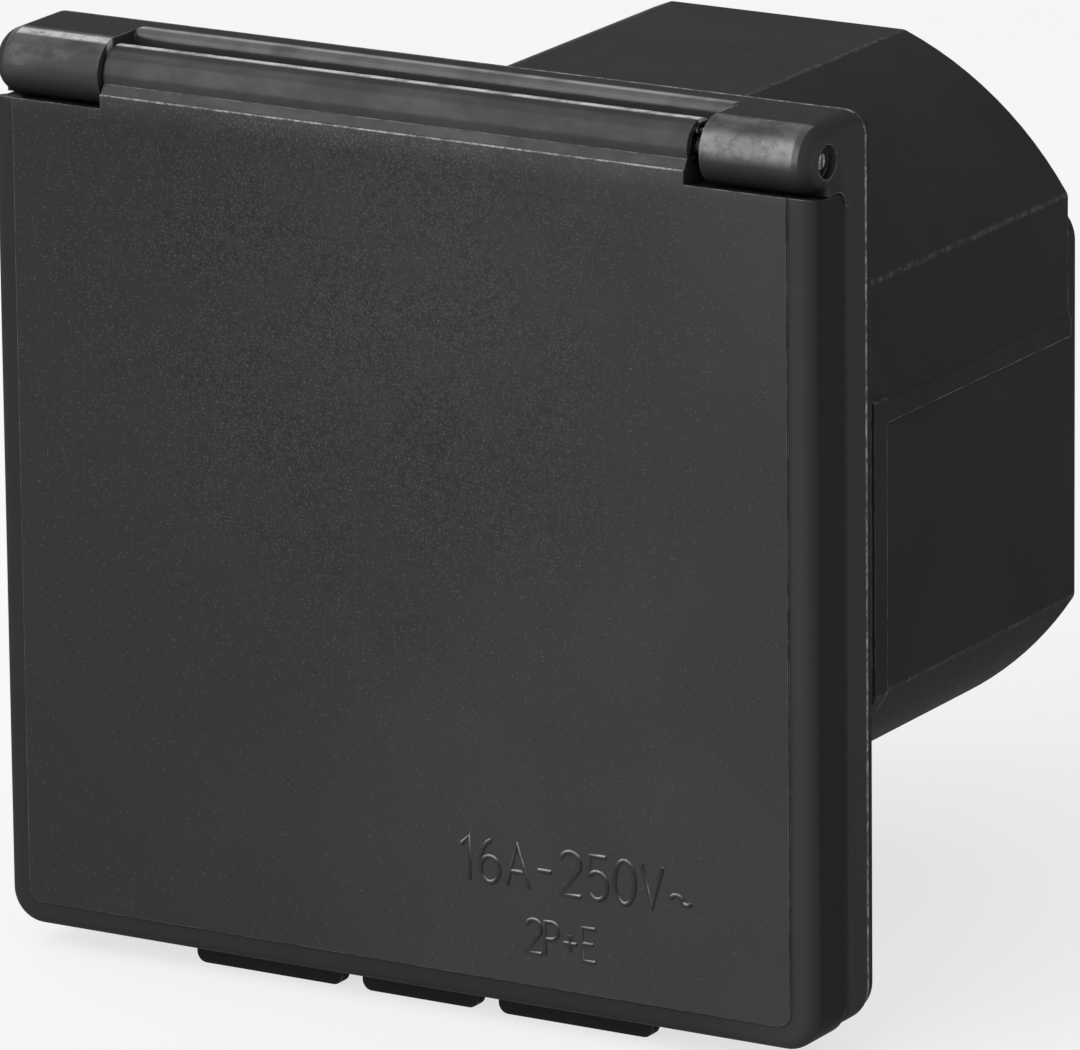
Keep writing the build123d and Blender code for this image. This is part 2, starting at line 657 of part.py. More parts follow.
with BuildPart() as lid:
    slab(lid_outline(), lid_front, lid_back)
    front_edges = lid.faces().sort_by(Axis.Y)[0].edges()
    fillet(front_edges.sort_by(Axis.Z)[:-1], lid_roundover)
    slab(lid_outline(lid_wall), lid_inner, lid_back, Mode.SUBTRACT)
    slab(panel_outline(), lid_front - panel_proud, lid_front)
    # Under the knuckles the top edge is a hollow rim, and round at the rear
    with BuildSketch(mode=Mode.PRIVATE) as top_corners:
        with Locations((0, lid_rim)):
            Rectangle(lid_width, 2 * (lid_rim - lid_bottom), align=(Align.CENTER, Align.MAX))
        fillet(top_corners.vertices().group_by(Axis.Y)[-1], lid_top_corner)
    slab(top_corners.sketch, lid_front - panel_proud, lid_back, Mode.INTERSECT)
    with BuildSketch(Plane.YZ.offset(-flange_width / 2)) as knuckle_room:
        with BuildLine():
            Line((lid_back, hinge_z), (hinge_y, hinge_z))
            Line((hinge_y, hinge_z), (hinge_y, lid_top))
            Line((hinge_y, lid_top), (lid_back - lid_rear_round, lid_top))
            RadiusArc((lid_back - lid_rear_round, lid_top), (lid_back, lid_top - lid_rear_round), lid_rear_round)
            Line((lid_back, lid_top - lid_rear_round), (lid_back, hinge_z))
        make_face()
        with Locations((hinge_y, hinge_z)):
            Circle(knuckle_radius + lid_clearance)
            # Wide open, this slope lies over the flat top of the knuckle
            Rectangle(
                2 * lid_depth,
                knuckle_radius + lid_clearance,
                rotation=flap_travel - 180,
                align=(Align.MAX, Align.MAX),
            )
    extrude(knuckle_room.sketch, amount=flange_width, mode=Mode.SUBTRACT)
    # The barrel and the web that carries it
    with BuildSketch(Plane.YZ.offset(barrel_left)) as barrel:
        with BuildLine():
            Polyline(
                (lid_front, lid_top - lid_wall),
                (lid_front, panel_step_z),
                (hinge_y - barrel_radius, hinge_z - barrel_root),
                (hinge_y, hinge_z),
                (hinge_y + barrel_radius, hinge_z - barrel_root),
                (hinge_y + barrel_radius, lid_top - lid_wall),
                close=True,
            )
        make_face()
        with Locations((hinge_y, hinge_z)):
            Circle(barrel_radius)
    extrude(barrel.sketch, amount=barrel_right - barrel_left)
    with BuildSketch(mode=Mode.PRIVATE) as panel_head:
        with Locations(((barrel_left + barrel_right) / 2, panel_step_z)):
            Rectangle(barrel_right - barrel_left, panel_step_z - lid_top + lid_wall, align=(Align.CENTER, Align.MAX))
    slab(panel_head.sketch, lid_front - panel_proud, lid_front)
    hinge_rod(pin_radius + hinge_clearance, barrel_left, barrel_right, Mode.SUBTRACT)
    hinge_rod(spring_pocket_radius, pocket_left, barrel_right, Mode.SUBTRACT)
    tang(coil_start, pocket_left - spring_tang - tang_gap, pocket_left, spring_wire + tang_gap, Mode.SUBTRACT)
    # Finger lip in three lengths along the bottom
    for left, right in lip_spans:
        lip_back = lid_back - lip_setback
        with BuildSketch(at_depth(lip_back)) as lip:
            with Locations(((left + right) / 2, lid_bottom - lip_reach)):
                Rectangle(right - left, lip_reach + lid_wall / 2, align=(Align.CENTER, Align.MIN))
            fillet(lip.vertices().group_by(Axis.Y)[0], lip_corner)
        extrude(lip.sketch, amount=lip_thickness)
    # Two ribs hold the seal, and a hook keeps a connector in
    outer_rib = seal_outer - seal_rib_gap
    inner_rib = seal_inner + seal_rib_gap
    slab(box_ring(outer_rib - seal_rib_wall, outer_rib), lid_inner, lid_inner + seal_rib_height)
    slab(box_ring(inner_rib, inner_rib + seal_rib_wall), lid_inner, lid_inner + seal_rib_height)
    with BuildSketch(Plane.YZ.offset(-hook_width / 2)) as hook:
        with BuildLine():
            Polyline(
                (lid_inner, hook_height),
                (lid_inner + hook_reach, hook_height),
                (lid_inner + hook_reach, hook_height - hook_stem - hook_toe),
                (lid_inner + hook_reach - hook_stem, hook_height - hook_stem),
                (lid_inner, hook_height - hook_stem),
                close=True,
            )
        make_face()
    extrude(hook.sketch, amount=hook_width)

with BuildPart() as lid_seal:
    slab(box_ring(seal_outer, seal_inner), seal_front, seal_back)

nodes = {
    "front_housing": front_housing,
    "wall_gasket": wall_gasket,
    "rear_cover": rear_cover,
    "cover_screws": cover_screws,
    "inlet_shroud": inlet_shroud,
    "inlet_seal": inlet_seal,
    "inlet_screws": inlet_screws,
    "pin_carrier": pin_carrier,
    "carrier_screws": carrier_screws,
    "live_pin": live_pin,
    "neutral_pin": neutral_pin,
    "earth_pin": earth_pin,
    "terminal_screws": terminal_screws,
    "gland_body": gland_body,
    "gland_seal": gland_seal,
    "gland_locknut": gland_locknut,
    "gland_cap": gland_cap,
    "gland_sleeve": gland_sleeve,
    "hinge_pin": hinge_pin,
    "hinge_spring": hinge_spring,
    "lid": lid,
    "lid_seal": lid_seal,
}

os.makedirs("parts", exist_ok=True)
for name, node in nodes.items():
    node.part.label = name
    export_step(node.part, f"parts/{name}.step")
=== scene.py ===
import json
from math import cos, pi, radians, sin

import bpy
from mathutils import Matrix, Vector


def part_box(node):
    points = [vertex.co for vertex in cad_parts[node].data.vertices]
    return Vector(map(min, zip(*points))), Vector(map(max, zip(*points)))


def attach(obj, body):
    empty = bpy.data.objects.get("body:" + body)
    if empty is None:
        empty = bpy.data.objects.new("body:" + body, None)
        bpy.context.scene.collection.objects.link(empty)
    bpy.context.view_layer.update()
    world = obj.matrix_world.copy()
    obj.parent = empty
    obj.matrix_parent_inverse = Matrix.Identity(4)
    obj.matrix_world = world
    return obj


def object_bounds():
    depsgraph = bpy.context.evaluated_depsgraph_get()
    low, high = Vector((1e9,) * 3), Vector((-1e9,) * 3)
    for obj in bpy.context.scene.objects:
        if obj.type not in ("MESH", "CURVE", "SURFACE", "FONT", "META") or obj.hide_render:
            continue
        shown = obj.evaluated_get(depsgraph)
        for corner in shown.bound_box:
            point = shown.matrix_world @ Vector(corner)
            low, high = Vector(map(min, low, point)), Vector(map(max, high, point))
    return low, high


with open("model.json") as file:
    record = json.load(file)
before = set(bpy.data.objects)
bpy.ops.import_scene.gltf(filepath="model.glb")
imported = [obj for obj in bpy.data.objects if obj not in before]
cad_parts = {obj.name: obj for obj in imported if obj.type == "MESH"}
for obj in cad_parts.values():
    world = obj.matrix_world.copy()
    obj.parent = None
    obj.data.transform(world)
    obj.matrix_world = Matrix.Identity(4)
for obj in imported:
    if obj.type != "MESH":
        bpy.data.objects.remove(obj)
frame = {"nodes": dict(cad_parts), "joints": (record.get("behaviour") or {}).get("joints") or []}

cad_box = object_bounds()
MM = 0.001

# Places read from the frame
HINGE = Vector(frame["joints"][0]["pos_m"])
FIELD_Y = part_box("lid")[0][1]
FLANGE_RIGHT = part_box("front_housing")[1][0]
FLANGE_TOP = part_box("front_housing")[1][2]
FLOOR_Z = cad_box[0][2]

# Camera, fitted to the photograph's straight edges
CAMERA_AZIMUTH = radians(30.621)
CAMERA_ELEVATION = radians(15.534)
CAMERA_ROLL = radians(-0.61)
CAMERA_DISTANCE = 1526.6 * MM
CAMERA_AIM_RIGHT = 10.432 * MM
CAMERA_AIM_UP = -1.077 * MM
CAMERA_ORIGIN = Vector((0, -1.0, -0.75)) * MM
LENS_MM = 400.0
SENSOR_MM = 36.0


def add_camera():
    a, e, r = CAMERA_AZIMUTH, CAMERA_ELEVATION, CAMERA_ROLL
    back = Vector((sin(a) * cos(e), -cos(a) * cos(e), sin(e)))
    right = Vector((cos(a), sin(a), 0))
    up = back.cross(right)
    right, up = right * cos(r) + up * sin(r), up * cos(r) - right * sin(r)
    data = bpy.data.cameras.new("camera")
    data.lens = LENS_MM
    data.sensor_width = SENSOR_MM
    data.sensor_fit = "HORIZONTAL"
    camera = bpy.data.objects.new("camera", data)
    bpy.context.collection.objects.link(camera)
    place = CAMERA_ORIGIN + back * CAMERA_DISTANCE + right * CAMERA_AIM_RIGHT + up * CAMERA_AIM_UP
    turn = Matrix((right, up, back)).transposed().to_4x4()
    camera.matrix_world = Matrix.Translation(place) @ turn
    bpy.context.scene.camera = camera


class Nodes:
    """Short calls for building a material's node tree."""

    def __init__(self, name):
        self.material = bpy.data.materials.new(name)
        self.material.use_nodes = True
        self.tree = self.material.node_tree
        self.shader = self.tree.nodes["Principled BSDF"]
        self.place = self.add("ShaderNodeTexCoord").outputs["Object"]

    def add(self, kind, **settings):
        node = self.tree.nodes.new(kind)
        for key, value in settings.items():
            setattr(node, key, value)
        return node

    def put(self, socket, value):
        if isinstance(value, bpy.types.NodeSocket):
            self.tree.links.new(value, socket)
        else:
            socket.default_value = value

    def finish(self, **values):
        """Set the shader's sockets by name, with underscores for spaces."""
        for key, value in values.items():
            self.put(self.shader.inputs[key.replace("_", " ")], value)
        return self.material

    def math(self, operation, *values):
        node = self.add("ShaderNodeMath", operation=operation)
        for socket, value in zip(node.inputs, values):
            self.put(socket, value)
        return node.outputs[0]

    def product(self, first, *others):
        for other in others:
            first = self.math("MULTIPLY", first, other)
        return first

    def ramp(self, value, low, high, to_low=0.0, to_high=1.0):
        node = self.add("ShaderNodeMapRange", interpolation_type="SMOOTHSTEP")
        for key, item in (("Value", value), ("From Min", low), ("From Max", high),
                          ("To Min", to_low), ("To Max", to_high)):
            self.put(node.inputs[key], item)
        return node.outputs["Result"]

    def vector(self, operation, *values, output="Vector"):
        node = self.add("ShaderNodeVectorMath", operation=operation)
        for socket, value in zip(node.inputs, values):
            self.put(socket, value)
        return node.outputs[output]

    def split(self, vector):
        node = self.add("ShaderNodeSeparateXYZ")
        self.put(node.inputs[0], vector)
        return node.outputs

    def stretched(self, scale):
        node = self.add("ShaderNodeMapping")
        self.put(node.inputs["Vector"], self.place)
        node.inputs["Scale"].default_value = scale
        return node.outputs["Vector"]

    def noise(self, scale, detail=2.0, roughness=0.5, vector=None):
        node = self.add("ShaderNodeTexNoise")
        self.put(node.inputs["Vector"], vector or self.place)
        node.inputs["Scale"].default_value = scale
        node.inputs["Detail"].default_value = detail
        node.inputs["Roughness"].default_value = roughness
        return node.outputs["Fac"]

    def mix(self, factor, a, b):
        node = self.add("ShaderNodeMix", data_type="RGBA")
        self.put(node.inputs[0], factor)
        self.put(node.inputs[6], a)
        self.put(node.inputs[7], b)
        return node.outputs[2]

    def bump(self, height, distance, strength, normal):
        node = self.add("ShaderNodeBump")
        node.inputs["Strength"].default_value = strength
        node.inputs["Distance"].default_value = distance
        self.put(node.inputs["Height"], height)
        self.put(node.inputs["Normal"], normal)
        return node.outputs["Normal"]

    def edges(self, radius):
        """Rounded normals near edges, and how strongly each point lies on one."""
        soft = self.add("ShaderNodeBevel", samples=8)
        soft.inputs["Radius"].default_value = radius
        flat = self.add("ShaderNodeNewGeometry").outputs["Normal"]
        likeness = self.vector("DOT_PRODUCT", soft.outputs["Normal"], flat, output="Value")
        return soft.outputs["Normal"], self.ramp(likeness, 0.985, 0.86)

    def above(self, value, limit):
        return self.math("GREATER_THAN", value, limit)

    def below(self, value, limit):
        return self.math("LESS_THAN", value, limit)

    def near(self, value, target, reach, core):
        """1 within core of the target, fading to 0 at reach."""
        return self.ramp(self.math("ABSOLUTE", self.math("SUBTRACT", value, target)), reach, core)

    def upward(self, normal):
        """The upward share of a normal on the object itself, however it is turned."""
        turned = self.add("ShaderNodeVectorTransform", vector_type="NORMAL",
                          convert_from="WORLD", convert_to="OBJECT")
        self.put(turned.inputs[0], normal)
        return self.split(turned.outputs[0])["Z"]

    def edges_and_painted_highlight(self, radius):
        """Rounded normals, a ragged mask of the edges, and the part of it that faces up, for a painted
        highlight.
        """
        soft, edge = self.edges(radius)
        edge = self.product(edge, self.ramp(self.noise(420, 4, 0.7), 0.36, 0.62, 0.15, 1.0))
        return soft, edge, self.product(edge, self.ramp(self.upward(soft), 0.2, 0.8, 0.35, 1.0))

    def streaks(self, scale, half_length, half_width):
        """Short streaks seen from the front, one to a cell and each turned its own way."""
        x, _, z = self.split(self.place)
        front = self.add("ShaderNodeCombineXYZ")
        self.put(front.inputs["X"], x)
        self.put(front.inputs["Y"], z)
        cell = self.add("ShaderNodeTexVoronoi", voronoi_dimensions="2D")
        self.put(cell.inputs["Vector"], front.outputs[0])
        cell.inputs["Scale"].default_value = scale
        turn = self.add("ShaderNodeVectorRotate", rotation_type="Z_AXIS")
        offset = self.vector("SUBTRACT", front.outputs[0], cell.outputs["Position"])
        self.put(turn.inputs["Vector"], offset)
        chance, other, _ = self.split(cell.outputs["Color"])
        self.put(turn.inputs["Angle"], self.math("MULTIPLY", chance, 2 * pi))
        along, across, _ = self.split(turn.outputs[0])
        body = self.product(
            self.ramp(self.math("ABSOLUTE", along), half_length, 0.5 * half_length),
            self.ramp(self.math("ABSOLUTE", across), half_width, 0.3 * half_width),
        )
        return body, other


def grey(level, tint=0.0):
    return (level, level, level * (1 + tint), 1)


# The hinge's knuckles end inside this distance from the middle, and the barrel inside the other
SHINE_SIDE = 58.0 * MM
BARREL_SIDE = 43.6 * MM

# Planes of the flange: its front, the rounding's rear end and its rear edge
FLANGE_ROUND_REAR = -4.4 * MM
FLANGE_FRONT = -7.0 * MM
FLANGE_REAR = -1.8 * MM

# The middle of the flap's field, where its grain stands out most
GRAIN_MIDDLE = (-8.0 * MM, FIELD_Y, 30.0 * MM)
GRAIN_NEAR = 14.0 * MM
GRAIN_FAR = 62.0 * MM

# The top edge of the field, at the foot of the flap's barrel, carries a painted highlight line
FIELD_TOP = HINGE.z - 2.1 * MM

# The two creases where the box's round corners meet its flats
CREASE_X = 17.6 * MM
CREASE_Z = 27.5 * MM
CREASE_REACH = 0.5 * MM
CREASE_CORE = 0.15 * MM
BOX_SIDE = 41.0 * MM
BOX_TOP = 46.0 * MM

# Shared by the black plastics
EDGE_RADIUS = 0.22 * MM
# Grey and amount of the painted highlight on edges that face up
EDGE_HIGHLIGHT_GREY = 0.3
EDGE_HIGHLIGHT_AMOUNT = 0.6
GRAIN_DEPTH = 0.12 * MM
COAT_ROUGHNESS = 0.22


def hinge_front(n, low, high, patches):
    """A patchy mask over the front of the hinge, fading out from high to low."""
    x, _, z = n.split(n.place)
    return n.product(
        n.ramp(z, HINGE.z + low, HINGE.z + high),
        n.below(n.math("ABSOLUTE", x), SHINE_SIDE),
        n.ramp(n.noise(170, 4, 0.7, n.stretched((0.6, 1, 1))), 0.38, 0.64, patches, 1.0),
    )


def barrel_polish_and_highlight(n):
    """Polish on the flap's barrel, and a mask of a painted highlight line along its top."""
    _, y, z = n.split(n.place)
    front = n.ramp(y, HINGE.y - 2.3 * MM, HINGE.y - 1.1 * MM, 0.6, 0.25)
    line = n.product(
        n.ramp(y, HINGE.y - 0.8 * MM, HINGE.y - 0.3 * MM),
        n.above(z, HINGE.z + 3.0 * MM),
        n.ramp(n.noise(240, 4, 0.7), 0.34, 0.56, 0.35, 1.0),
    )
    return n.product(hinge_front(n, -6.0 * MM, -2.0 * MM, 0.6), front), line


def knuckle_shine(n):
    """Polish on the upper front of the two knuckles, stronger on the right."""
    x, y, _ = n.split(n.place)
    return n.product(
        hinge_front(n, -2.0 * MM, 1.2 * MM, 0.3),
        n.ramp(y, HINGE.y + 0.5 * MM, HINGE.y - 0.4 * MM),
        n.ramp(x, -50 * MM, 50 * MM, 0.8, 1.0),
    )


def knuckle_painted_highlight(n):
    """A mask of the left knuckle's painted highlight band and of the right one's painted highlight
    patches.
    """
    x, y, z = n.split(n.place)
    band = n.product(n.near(y, HINGE.y - 1.3 * MM, 0.9 * MM, 0.4 * MM), n.below(x, 0.0))
    patch = n.product(
        n.ramp(z, HINGE.z - 0.8 * MM, HINGE.z + 1.2 * MM),
        n.ramp(z, HINGE.z + 3.6 * MM, HINGE.z + 2.4 * MM),
        n.above(x, 0.0), 0.32,
    )
    place = n.product(
        n.above(z, HINGE.z - 2.0 * MM),
        n.below(n.math("ABSOLUTE", x), SHINE_SIDE - 0.8 * MM),
        n.below(y, HINGE.y),
    )
    ragged = n.ramp(n.noise(520, 5, 0.8), 0.3, 0.6, 0.3, 1.0)
    return n.product(n.math("MAXIMUM", band, patch), place, ragged)


def knuckle_shade(n):
    """A mask of painted shade over the undersides of the knuckles."""
    _, y, z = n.split(n.place)
    return n.product(
        n.ramp(z, HINGE.z + 0.5 * MM, HINGE.z - 3.0 * MM),
        n.ramp(y, FLANGE_FRONT - 0.6 * MM, FLANGE_FRONT - 2.0 * MM),
        n.above(z, HINGE.z - 5.0 * MM),
    )


def flange_round(n):
    """A mask over the rounded front edge of the flange's top, behind the barrel."""
    x, y, z = n.split(n.place)
    return n.product(
        n.ramp(y, FLANGE_ROUND_REAR, FLANGE_ROUND_REAR - 0.8 * MM),
        n.below(n.math("ABSOLUTE", x), BARREL_SIDE),
        n.above(z, FLANGE_TOP - 5.0 * MM),
        n.ramp(n.noise(120, 3, 0.6), 0.3, 0.6, 0.5, 1.0),
    )


def back_edge_highlights(n):
    """A ragged mask of painted highlight down the flange's rear right edge and along its rear top edge.
    """
    x, y, z = n.split(n.place)
    side = n.above(x, FLANGE_RIGHT - 0.3 * MM)
    top = n.product(n.above(z, FLANGE_TOP - 0.35 * MM), n.ramp(x, -30 * MM, 22 * MM, 0.4, 1.0))
    behind = n.ramp(y, FLANGE_REAR - 0.6 * MM, FLANGE_REAR - 0.3 * MM)
    ragged = n.ramp(n.noise(640, 6, 0.85), 0.42, 0.62, 0.1, 1.0)
    return n.product(n.math("MAXIMUM", side, top), behind, ragged)


def creases(n):
    """A ragged mask of painted highlight along each crease of the box behind the wall."""
    x, y, z = n.split(n.place)
    beside = n.math("ABSOLUTE", x)
    side = n.product(
        n.near(n.math("ABSOLUTE", z), CREASE_Z, CREASE_REACH, CREASE_CORE),
        n.above(beside, BOX_SIDE),
    )
    top = n.product(n.near(beside, CREASE_X, CREASE_REACH, CREASE_CORE), n.above(z, BOX_TOP))
    ragged = n.ramp(n.noise(900, 6, 0.9), 0.4, 0.72)
    return n.product(n.math("MAXIMUM", side, top), ragged, n.above(y, 0.0))


def black_plastic(name, level, roughness, specular=0.002, edge_highlight_amount=EDGE_HIGHLIGHT_AMOUNT, hinge=False, box=False):
    """Black moulded plastic: fine grain, faint clouding, and glossy edges, with a painted highlight on
    the edges that face up.
    """
    n = Nodes(name)
    soft, edge, painted_edge_highlight = n.edges_and_painted_highlight(EDGE_RADIUS)
    marks = n.noise(900, 6, 0.75, n.stretched((0.25, 1, 1)))
    scuffs = n.ramp(n.noise(330, 6, 0.8, n.stretched((0.5, 0.8, 1))), 0.6, 0.78)
    colour = n.mix(n.noise(45, 4, 0.6), grey(level * 0.78, 0.02), grey(level * 1.2, 0.03))
    colour = n.mix(n.product(scuffs, 0.12), colour, grey(0.12))
    coat = edge
    if hinge:
        coat = n.math("MAXIMUM", coat, n.math("MAXIMUM", knuckle_shine(n), flange_round(n)))
        # Painted shade under the knuckles
        colour = n.mix(n.product(knuckle_shade(n), 0.7), colour, grey(0.008))
        # Painted highlight on the upper front of the knuckles
        colour = n.mix(knuckle_painted_highlight(n), colour, grey(0.5))
        # Painted highlight along the flange's right end
        x = n.split(n.place)["X"]
        beside = n.ramp(x, FLANGE_RIGHT - 1.0 * MM, FLANGE_RIGHT - 0.2 * MM)
        colour = n.mix(n.product(beside, 0.5), colour, grey(0.06))
        # Painted highlight lines on the flange's rear edges
        colour = n.mix(n.product(back_edge_highlights(n), 0.9), colour, grey(0.4))
    if box:
        # Painted highlight along the box's creases
        colour = n.mix(n.product(creases(n), 0.7), colour, grey(0.16))
    normal = n.bump(n.noise(2600, 3, 0.7), GRAIN_DEPTH, 0.3, soft)
    return n.finish(
        # Base colour with a painted highlight on the edges that face up
        Base_Color=n.mix(n.product(painted_edge_highlight, edge_highlight_amount), colour, grey(EDGE_HIGHLIGHT_GREY)),
        Roughness=n.ramp(marks, 0.3, 0.7, roughness - 0.05, roughness + 0.06),
        Specular_IOR_Level=specular,
        Coat_Weight=coat,
        Coat_Roughness=COAT_ROUGHNESS,
        Normal=normal,
        Coat_Normal=normal,
    )


def flap_plastic(name):
    """The flap: smooth border and barrel, and a field with a spark-eroded grain whose light specks are
    partly painted glints.
    """
    n = Nodes(name)
    soft, edge, painted_edge_highlight = n.edges_and_painted_highlight(EDGE_RADIUS)
    x, y, z = n.split(n.place)
    field = n.below(y, FIELD_Y + 0.1 * MM)

    # Grain, denser towards the middle of the field; its specks are both relief and painted glints
    reach = n.vector("DISTANCE", n.place, GRAIN_MIDDLE, output="Value")
    dense = n.product(
        n.ramp(reach, GRAIN_NEAR, GRAIN_FAR, 1.0, 0.08),
        n.ramp(n.noise(70, 3, 0.6), 0.3, 0.6, 0.3, 1.0),
    )
    thin, thin_chance = n.streaks(1900, 0.22 * MM, 0.08 * MM)
    dots, dots_chance = n.streaks(760, 0.14 * MM, 0.11 * MM)
    thin = n.product(thin, n.below(thin_chance, n.product(dense, 0.9)))
    dots = n.product(dots, n.below(dots_chance, n.product(dense, 0.5)))
    spark = n.product(n.math("MAXIMUM", n.product(thin, 0.7), dots), field)

    # Border, barrel and sides: painted light towards the right, painted shade round the sides
    smooth = n.mix(n.noise(60, 4, 0.6), grey(0.024, 0.02), grey(0.031, 0.03))
    smooth = n.mix(n.product(n.ramp(x, 40 * MM, 57 * MM), 0.6), smooth, grey(0.046))
    sides = n.product(
        n.ramp(y, FIELD_Y + 1.4 * MM, FIELD_Y + 2.4 * MM), n.below(z, FIELD_TOP - 2.0 * MM),
    )
    smooth = n.mix(n.product(sides, 0.75), smooth, grey(0.016))

    # Field: a painted sheen lighter to the right, clouded, with dark pits in its grain
    pits = n.product(n.ramp(n.noise(1100, 3, 0.8), 0.4, 0.62), dense, 0.35)
    clouds = n.ramp(n.noise(24, 3, 0.5), 0.35, 0.65, 0.0, 0.35)
    pitted = n.mix(n.ramp(x, -60 * MM, 45 * MM), grey(0.032), grey(0.047))
    pitted = n.mix(clouds, pitted, grey(0.028))
    pitted = n.mix(pits, pitted, grey(0.01))
    # Painted highlight line along the field's top edge
    foot = n.product(
        n.near(z, FIELD_TOP, 0.3 * MM, 0.1 * MM),
        n.ramp(n.noise(560, 6, 0.85), 0.4, 0.62, 0.1, 1.0), field,
    )
    polish, line = barrel_polish_and_highlight(n)
    # Grain specks painted lighter as glints, besides their bump below
    colour = n.mix(n.product(spark, 0.28), n.mix(field, smooth, pitted), grey(0.2))
    colour = n.mix(n.product(foot, 0.9), colour, grey(0.42))
    # Painted highlight line along the barrel's top
    colour = n.mix(line, colour, grey(0.6))

    height = n.math("ADD", n.product(n.noise(2600, 3, 0.7), 0.2), spark)
    normal = n.bump(height, GRAIN_DEPTH, 0.3, soft)
    return n.finish(
        # Base colour with a painted highlight on the edges that face up
        Base_Color=n.mix(n.product(painted_edge_highlight, EDGE_HIGHLIGHT_AMOUNT), colour, grey(EDGE_HIGHLIGHT_GREY)),
        Roughness=n.ramp(n.noise(900, 6, 0.75), 0.3, 0.7, 0.42, 0.54),
        Specular_IOR_Level=0.01,
        Coat_Weight=n.math("MAXIMUM", edge, polish),
        Coat_Roughness=COAT_ROUGHNESS,
        Normal=normal,
        Coat_Normal=normal,
    )


def rubber(name):
    """Matt black rubber with a little dust in its pores."""
    n = Nodes(name)
    soft, _ = n.edges(0.2 * MM)
    dust = n.ramp(n.noise(420, 5, 0.7), 0.35, 0.8)
    return n.finish(
        Base_Color=n.mix(dust, grey(0.006), grey(0.02)),
        Roughness=n.ramp(dust, 0, 1, 0.62, 0.85),
        Specular_IOR_Level=0.1,
        Normal=n.bump(n.noise(1800, 3, 0.6), 0.1 * MM, 0.5, soft),
    )


def coloured_plastic(name, dark, light, roughness):
    """Coloured moulded plastic, a little paler on its edges."""
    n = Nodes(name)
    soft, edge = n.edges(0.3 * MM)
    pale = tuple(min(1, 1.8 * channel) for channel in light[:3]) + (1,)
    colour = n.mix(n.noise(90, 4, 0.6), dark, light)
    return n.finish(
        Base_Color=n.mix(n.product(edge, 0.35), colour, pale),
        Roughness=n.ramp(n.noise(500, 5, 0.7), 0.3, 0.7, roughness - 0.06, roughness + 0.08),
        Normal=n.bump(n.noise(2200, 3, 0.6), 0.05 * MM, 0.4, soft),
    )


def metal(name, dark, light, roughness, lay=(0.08, 1, 1)):
    """Turned or drawn metal with fine tool lines and a little tarnish."""
    n = Nodes(name)
    soft, _ = n.edges(0.15 * MM)
    lines = n.noise(2400, 4, 0.7, n.stretched(lay))
    tarnish = n.ramp(n.noise(260, 4, 0.65), 0.35, 0.75)
    return n.finish(
        Base_Color=n.mix(tarnish, light, dark),
        Metallic=1.0,
        Roughness=n.ramp(lines, 0.25, 0.75, roughness - 0.08, roughness + 0.12),
        Normal=n.bump(lines, 0.04 * MM, 0.5, soft),
    )


def pin_metal(name):
    """Dull drawn steel, with painted shade standing for an upright slit across the pin's right end."""
    n = Nodes(name)
    soft, _ = n.edges(0.15 * MM)
    x, y, _ = n.split(n.place)
    # Painted shade of a slit that is not modelled
    slit = n.product(
        n.above(x, SHINE_SIDE),
        n.near(y, HINGE.y, 0.24 * MM, 0.14 * MM),
    )
    stain = n.ramp(n.noise(900, 5, 0.75), 0.34, 0.66)
    return n.finish(
        Base_Color=n.mix(slit, n.mix(stain, grey(0.42), grey(0.1)), grey(0.02)),
        Metallic=1.0,
        Roughness=n.ramp(stain, 0, 1, 0.22, 0.45),
        Normal=n.bump(n.noise(2000, 4, 0.7), 0.05 * MM, 0.6, soft),
    )


def dress(material, *nodes):
    """Give CAD nodes a material."""
    for node in nodes:
        materials = frame["nodes"][node].data.materials
        materials.clear()
        materials.append(material)


def dress_all():
    dress(flap_plastic("flap_black"), "lid")
    dress(black_plastic("housing_black", 0.037, 0.4, hinge=True, box=True), "front_housing")
    dress(black_plastic("cover_black", 0.038, 0.46, edge_highlight_amount=0.05, box=True), "rear_cover")
    dress(black_plastic("gland_black", 0.014, 0.38, 0.2),
          "gland_body", "gland_locknut", "gland_cap")
    dress(black_plastic("carrier_black", 0.02, 0.5, 0.2), "pin_carrier")
    dress(rubber("seal_rubber"),
          "wall_gasket", "inlet_seal", "gland_seal", "gland_sleeve", "lid_seal")
    dress(coloured_plastic("inlet_blue", (0.006, 0.05, 0.3, 1), (0.01, 0.075, 0.38, 1), 0.36),
          "inlet_shroud")
    dress(metal("contact_brass", (0.5, 0.4, 0.22, 1), (0.75, 0.66, 0.45, 1), 0.26, (1, 0.1, 1)),
          "live_pin", "neutral_pin", "earth_pin")
    dress(metal("zinc_steel", grey(0.42), grey(0.66), 0.32),
          "terminal_screws", "cover_screws", "inlet_screws", "carrier_screws")
    dress(metal("drawn_steel", grey(0.5), grey(0.78), 0.2), "hinge_spring")
    dress(pin_metal("pin_steel"), "hinge_pin")


# Raised rating in single strokes, each glyph drawn in a cell one unit high
def arc(cx, cz, rx, rz, start, end, steps=14):
    """Points along an ellipse, with angles in degrees from the right, upwards."""
    turns = [radians(start + (end - start) * i / steps) for i in range(steps + 1)]
    return [(cx + rx * cos(t), cz + rz * sin(t)) for t in turns]


